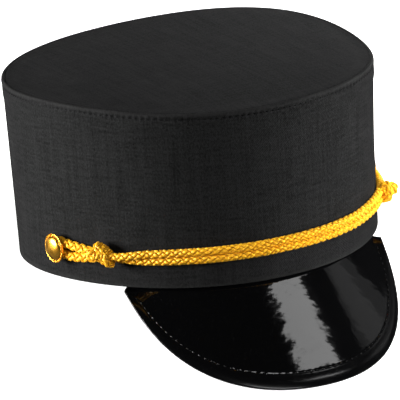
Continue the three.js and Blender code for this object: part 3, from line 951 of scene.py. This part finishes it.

# %% [markdown]
# Rayon is bright where it turns to the light. Fine filaments run along each strand, so the material draws
# them from the strand's own attributes. It shifts the tone a little from strand to strand, and paints
# shade into the colour: deep orange where a strand dips under another, in the gaps of the braid.

# %% The gold rayon
def gold_rayon():
    paint, tree, surface = new_paint("gold_rayon")
    along = add(tree, "ShaderNodeAttribute", attribute_name="along").outputs["Vector"]
    around = add(tree, "ShaderNodeAttribute", attribute_name="around").outputs["Fac"]
    place = add(tree, "ShaderNodeTexCoord").outputs["Object"]
    parts = add(tree, "ShaderNodeSeparateXYZ", {0: along}).outputs
    lint = place_group(tree, LINT, {"Place": place, "Lint scale": 2400.0, "Shade scale": 260.0})
    lay = add(tree, "ShaderNodeCombineXYZ", {
        0: maths(tree, "MULTIPLY", parts[0], 350.0),
        1: maths(tree, "MULTIPLY", around, 40.0),
        2: maths(tree, "MULTIPLY", parts[1], 7.3),
    })
    filaments = noise(tree, lay.outputs[0], 1.0, 2.0)
    tone = shade_mix(tree, lint["Shade"], (0.75, 0.28, 0.003), (0.85, 0.38, 0.006))
    silky = shade_mix(tree, spread(tree, filaments, 0.35, 0.7, 0.0, 0.6), tone, (0.91, 0.58, 0.035))
    # painted shade: the colour goes deep orange where a strand lies under another, standing in for the shadow
    # in the braid's gaps
    painted_gap_shade = spread(tree, parts[2], -1.0, 0.3, 0.75, 0.0)
    feed(tree, surface, {
        "Base Color": shade_mix(tree, painted_gap_shade, silky, (0.42, 0.11, 0.001)),
        "Roughness": spread(tree, filaments, 0.3, 0.7, 0.42, 0.28),
        "Sheen Weight": 0.15,
        "Sheen Roughness": 0.35,
        "Sheen Tint": (1.0, 0.85, 0.3, 1),
        "Specular IOR Level": 0.9,
        "Specular Tint": (1.0, 0.8, 0.25, 1),
        "Normal": bump(tree, 0.6, 0.00012, filaments),
    })
    return paint


GOLD_RAYON = gold_rayon()


def braided(name, points, replaced, fatter=1.0):
    outward = [Vector((p.x, p.y, 0)) for p in points]
    sizes = {
        "Winding radius": 1.25,
        "Weave depth": 0.48,
        "Strand width": 1.72,
        "Strand thickness": 1.06,
        "Pitch": 17.2,
    }
    settings = {label: size * MM * fatter for label, size in sizes.items()}
    line = line_mesh(name + "_line", points, outward, False)
    join(grown(name, BRAID, line, {**settings, "Material": GOLD_RAYON}), "cord_braid", replaced)


print("material:", GOLD_RAYON.name)

# %% [markdown]
# The doubled cord runs across the front above the visor. It lies a little higher towards the wearer's left,
# and before the right knot the pair rolls over until one strand lies on the other.

# %% The doubled cord across the front
STRAND = 3.8
STRAND_SPACING = STRAND + GAP
STRAND_IN_KNOT = 4.2
# The pair's way across the front: azimuth, height, and how far the pair has rolled over, in degrees.
CORD_ROUTE = (
    (-54, 16.5, 70), (-48, 16.6, 58), (-40, 17.1, 12), (-30, 17.7, 0), (-15, 18.2, 0),
    (0, 18.6, 0), (15, 18.5, 0), (30, 18.4, 0), (44, 19.2, 0), (55.5, 19.7, 0),
)
# A knot has an azimuth, a height and a length along the wall, and is more or less tall and deep. A button
# has an azimuth and a height. A loop has its heights at the knot and halfway, and opens and is pinched.
SIDES = {
    "right": {
        "sign": -1, "knot": (54, 18, 14.5), "tall": 0.96, "deep": 1.0,
        "button": (73, 17.2), "loop": (16.6, 16.3), "open": 2.7, "pinch": 0.5, "thick": 1.18,
    },
    "left": {
        "sign": 1, "knot": (55.5, 20.6, 14), "tall": 0.74, "deep": 0.9,
        "button": (88, 21), "loop": (19.4, 18.4), "open": 2.2, "pinch": 1.0, "thick": 0.98,
    },
}
CORD_POINTS = 181


def knot_side(side, way):
    """The azimuth just inside a knot: way is 1 on the button's side and -1 on the front's."""
    azimuth, height, length = side["knot"]
    return math.radians(azimuth) + way * (length / 2 - STRAND_IN_KNOT) / RIM_RADIUS


def on_route(azimuth):
    for last, following in zip(CORD_ROUTE, CORD_ROUTE[1:]):
        if azimuth <= following[0]:
            break
    share = (azimuth - last[0]) / (following[0] - last[0])
    return lerp(last[1], following[1], share), lerp(last[2], following[2], share)


def strand_points(sign):
    first, last = -knot_side(SIDES["right"], -1), knot_side(SIDES["left"], -1)
    points = []
    for i in range(CORD_POINTS):
        azimuth = lerp(first, last, i / (CORD_POINTS - 1))
        height, lean = on_route(math.degrees(azimuth))
        lean = math.radians(lean)
        up = sign * STRAND_SPACING * math.cos(lean) / 2
        out = (1 + sign) * STRAND_SPACING * math.sin(lean) / 2
        points.append(on_wall(azimuth, height + up, STRAND / 2 + GAP + out))
    return points


braided("cord_front_upper", strand_points(1), "cord_upper")
braided("cord_front_lower", strand_points(-1), "cord_lower")

# %% [markdown]
# Behind each button the cord makes a long narrow loop round the button's post. Its two legs start together
# at the knot and open out towards the button. On the right side the upper leg starts over the lower one.

# %% The loops behind the buttons
POST = 2.0
LEG_STEPS = 24
TURN_STEPS = 12


def smooth_line(rows, steps):
    """A smooth curve through a few points, as a Catmull-Rom spline."""
    ends = [rows[0] * 2 - rows[1], *rows, rows[-1] * 2 - rows[-2]]
    line = []
    for a, b, c, d in zip(ends, ends[1:], ends[2:], ends[3:]):
        for i in range(steps):
            t = i / steps
            line.append(0.5 * (2 * b + (c - a) * t + (2 * a - 5 * b + 4 * c - d) * t**2
                               + (3 * b - a - 3 * c + d) * t**3))
    return line + [rows[-1].copy()]


def loop_points(side):
    button, loop = side["button"], side["loop"]
    halfway = math.radians(side["knot"][0] * 0.4 + button[0] * 0.6)
    turn = POST / 2 + GAP + STRAND / 2
    at_button = math.radians(button[0])

    def leg(way):
        return smooth_line([
            Vector((knot_side(side, 1), loop[0] + way * side["pinch"] * STRAND_SPACING / 2)),
            Vector((halfway, loop[1] + way * side["open"])),
            Vector((at_button, button[1] + way * turn)),
        ], LEG_STEPS)

    upper = leg(1)
    route = upper[:-1]
    for i in range(TURN_STEPS + 1):
        angle = math.pi / 2 - i / TURN_STEPS * math.pi
        azimuth = at_button + turn * math.cos(angle) / RIM_RADIUS
        route.append(Vector((azimuth, button[1] + turn * math.sin(angle))))
    route += leg(-1)[::-1][1:]
    lift = [2.6 * (1 - side["pinch"]) * smooth(1 - i / len(upper), 0.45, 1) for i in range(len(route))]
    return [on_wall(side["sign"] * at.x, at.y, STRAND / 2 + GAP + up) for at, up in zip(route, lift)]


for hand, side in SIDES.items():
    braided(f"loop_{hand}", loop_points(side), f"cord_loop_{hand}", side["thick"])

# %% [markdown]
# At each side the cord makes a knot: a tight round lobe on the button's side, and two turns beside it that
# are wound round the pair and lean over towards the button. One line does it: through the middle of the
# knot, round the lobe, twice round, and back inside.

# %% The knots
LOBE = {"forward": -3.4, "up": 1.0, "radius": 1.8, "out": 4.2}
LOBE_POINTS = 21
LOBE_TURNS = 1.15
# A row for each turn: how far forward and up its middle lies, how tall and deep it is, and its lean.
KNOT_TURNS = ((-0.8, 0.9, 13.0, 9.6, 26), (2.2, -0.8, 12.6, 9.4, 24))
DEEPEST_TURN = 10.4
STEPS_A_TURN = 24


def knot_turn(place):
    """A knot's turn at a place between its rows: forward, up, tall, deep and lean."""
    place = min(max(place, 0), len(KNOT_TURNS) - 1)
    low = min(int(place), len(KNOT_TURNS) - 2)
    return [lerp(a, b, place - low) for a, b in zip(KNOT_TURNS[low], KNOT_TURNS[low + 1])]


def knot_points(side):
    sign = side["sign"]
    azimuth, height = sign * math.radians(side["knot"][0]), side["knot"][1]
    middle = on_wall(azimuth, height, DEEPEST_TURN * side["deep"] / 2 + GAP)
    along, up, out = directions(azimuth)

    def at(x, y, z):
        return middle + along * x + up * y + out * z

    inside = [at(-sign * x, 0, -0.8) for x in (4.4, 3.0, 1.0, -1.2)]
    curl = []
    for i in range(1, LOBE_POINTS + 1):
        angle = i / LOBE_POINTS * LOBE_TURNS * 2 * math.pi
        x = LOBE["forward"] + LOBE["radius"] * math.cos(angle)
        y = LOBE["up"] + LOBE["radius"] * math.sin(angle)
        z = lerp(-0.8, LOBE["out"], smooth(i, 0, 8)) - 3.2 * smooth(i, 17, 21)
        curl.append(at(-sign * x, y * side["tall"], z * side["deep"]))
    behind = [at(sign * 1.4, 0, -1.6)]
    wound = []
    for i in range(6, STEPS_A_TURN * 2 + 19):
        place = i / STEPS_A_TURN
        forward, rise, tall, deep, lean = knot_turn((place - 0.5) / 1.2)
        tuck = 1 - 0.75 * smooth(place, 2.35, 2.75)
        angle = 2 * math.pi * place - math.pi / 2
        y = (tall * side["tall"] - STRAND) / 2 * math.sin(angle) * tuck
        z = (deep * side["deep"] - STRAND) / 2 * -math.cos(angle) * tuck
        lean = math.radians(lean)
        x = -sign * forward + sign * y * math.sin(lean)
        wound.append(at(x, rise * side["tall"] + y * math.cos(lean), z))
    return smooth_line(inside + curl + behind, 3) + wound


for hand, side in SIDES.items():
    braided(f"knot_{hand}_wound", knot_points(side), f"knot_{hand}", 1.02)

# %% [markdown]
# The buttons are gilt, which is a warm bright yellow metal. It is duller and browner in the groove at the
# foot of the dome, so the mesh marks how recessed each row of the profile is. A faint bump from noise keeps
# the dome from looking too perfect.

# %% The gilt
def bright_gilt():
    paint, tree, surface = new_paint("bright_gilt")
    place = add(tree, "ShaderNodeTexCoord").outputs["Object"]
    recess = add(tree, "ShaderNodeAttribute", attribute_name="recess").outputs["Fac"]
    lint = place_group(tree, LINT, {"Place": place, "Lint scale": 1800.0, "Shade scale": 220.0})
    tone = shade_mix(tree, lint["Shade"], (0.88, 0.4, 0.03), (0.98, 0.54, 0.08))
    polish = spread(tree, lint["Shade"], 0.0, 1.0, 0.22, 0.32)
    feed(tree, surface, {
        "Base Color": shade_mix(tree, maths(tree, "MULTIPLY", recess, 0.75), tone, (0.3, 0.12, 0.02)),
        "Roughness": maths(tree, "MULTIPLY_ADD", recess, 0.25, polish),
        "Metallic": 1.0,
        "Normal": bump(tree, 0.5, 0.0002, noise(tree, place, 420.0, 3.0)),
    })
    return paint


BRIGHT_GILT = bright_gilt()
print("material:", BRIGHT_GILT.name)

# %% [markdown]
# The buttons are pressed from thin brass: a shallow dome inside a raised rim, with a fine row of beads at
# the foot of the dome. A turned profile gives the head, the post through the wall and the washer inside,
# and the bead tree from the stitches makes the beads. The loop under a head tilts it a little.

# %% The buttons
BUTTON_DOME = 2.5
BUTTON_EDGE = 1.3
HEAD_UNDER = STRAND + 2 * GAP + 0.1
WASHER_TOP = -CLOTH - GAP - 0.1
BEADS_ROUND = 60
BEAD_RING = 6.85
HEAD_TILT = math.radians(6)
HEAD_COLUMNS = 72


def button_profile():
    """(radius, distance out from the wall, how recessed) from the washer's back to the top of the dome."""
    top = HEAD_UNDER + BUTTON_EDGE
    rows = [(3.4, WASHER_TOP - 1, 0), (3.85, WASHER_TOP - 0.9, 0), (4, WASHER_TOP - 0.6, 0)]
    rows += [(4, WASHER_TOP - 0.15, 0), (3.8, WASHER_TOP, 0), (POST / 2, WASHER_TOP, 0.5)]
    rows += [(POST / 2, lerp(WASHER_TOP, HEAD_UNDER, i / 6), 0.6) for i in range(1, 7)]
    rows += [(5.0, HEAD_UNDER, 0.5), (6.9, HEAD_UNDER, 0.3), (7.4, HEAD_UNDER + 0.12, 0.1)]
    rows += [(7.6, HEAD_UNDER + 0.45, 0), (7.65, top - 0.4, 0), (7.6, top - 0.12, 0), (7.45, top, 0)]
    rows += [(7.25, top - 0.08, 0), (7.12, top - 0.32, 0.8), (7.0, top - 0.45, 1.0), (6.6, top - 0.45, 1.0)]
    for i in range(13):
        turn = i / 12 * math.pi / 2
        height = top - 0.4 + BUTTON_DOME * math.sin(turn)
        rows.append((6.45 * math.cos(turn), height, 0.8 * max(0, 1 - i / 2)))
    return rows[:-1], rows[-1][1]


def turned_button(hand, side):
    azimuth = side["sign"] * math.radians(side["button"][0])
    foot = on_wall(azimuth, side["button"][1], 0)
    along, up, out = directions(azimuth)
    profile, dome_top = button_profile()
    turns = [2 * math.pi * i / HEAD_COLUMNS for i in range(HEAD_COLUMNS)]

    def at(radius, distance, turn):
        tilt = -side["sign"] * HEAD_TILT * smooth(distance, 0, HEAD_UNDER)
        across = along * math.cos(tilt) + out * math.sin(tilt)
        ahead = out * math.cos(tilt) - along * math.sin(tilt)
        level = across * (radius * math.cos(turn)) + up * (radius * math.sin(turn))
        return foot + level + ahead * distance

    rows = [[at(radius, distance, turn) for turn in turns] for radius, distance, recess in profile]

    def chart(j, i):
        return i * 0.7 * MM, j * 0.6 * MM

    def recess(j, i):
        return profile[j][2]

    shape, points = grid_mesh(rows, chart, "recess", recess, closed_rows=False)
    for ring, distance in ((points[0], profile[0][1]), (points[-1], dome_top)):
        middle = shape.verts.new(TO_ROW @ at(0, distance, 0))
        for a, b in zip(ring, ring[1:] + ring[:1]):
            shape.faces.new((a, b, middle))
    join(finished(f"button_{hand}_head", shape, BRIGHT_GILT), "button_gilt", f"button_{hand}")
    beads = [at(BEAD_RING, HEAD_UNDER + BUTTON_EDGE - 0.25, turn) for turn in turns]
    line = line_mesh("bead_line", beads, [out] * len(beads), True)
    ring = grown(f"button_{hand}_beads", BEADS, line, {
        "Count": BEADS_ROUND,
        "Length": 0.66 * MM,
        "Width": 0.62 * MM,
        "Height": 0.62 * MM,
        "Material": BRIGHT_GILT,
    })
    join(ring, "button_gilt")


for hand, side in SIDES.items():
    turned_button(hand, side)
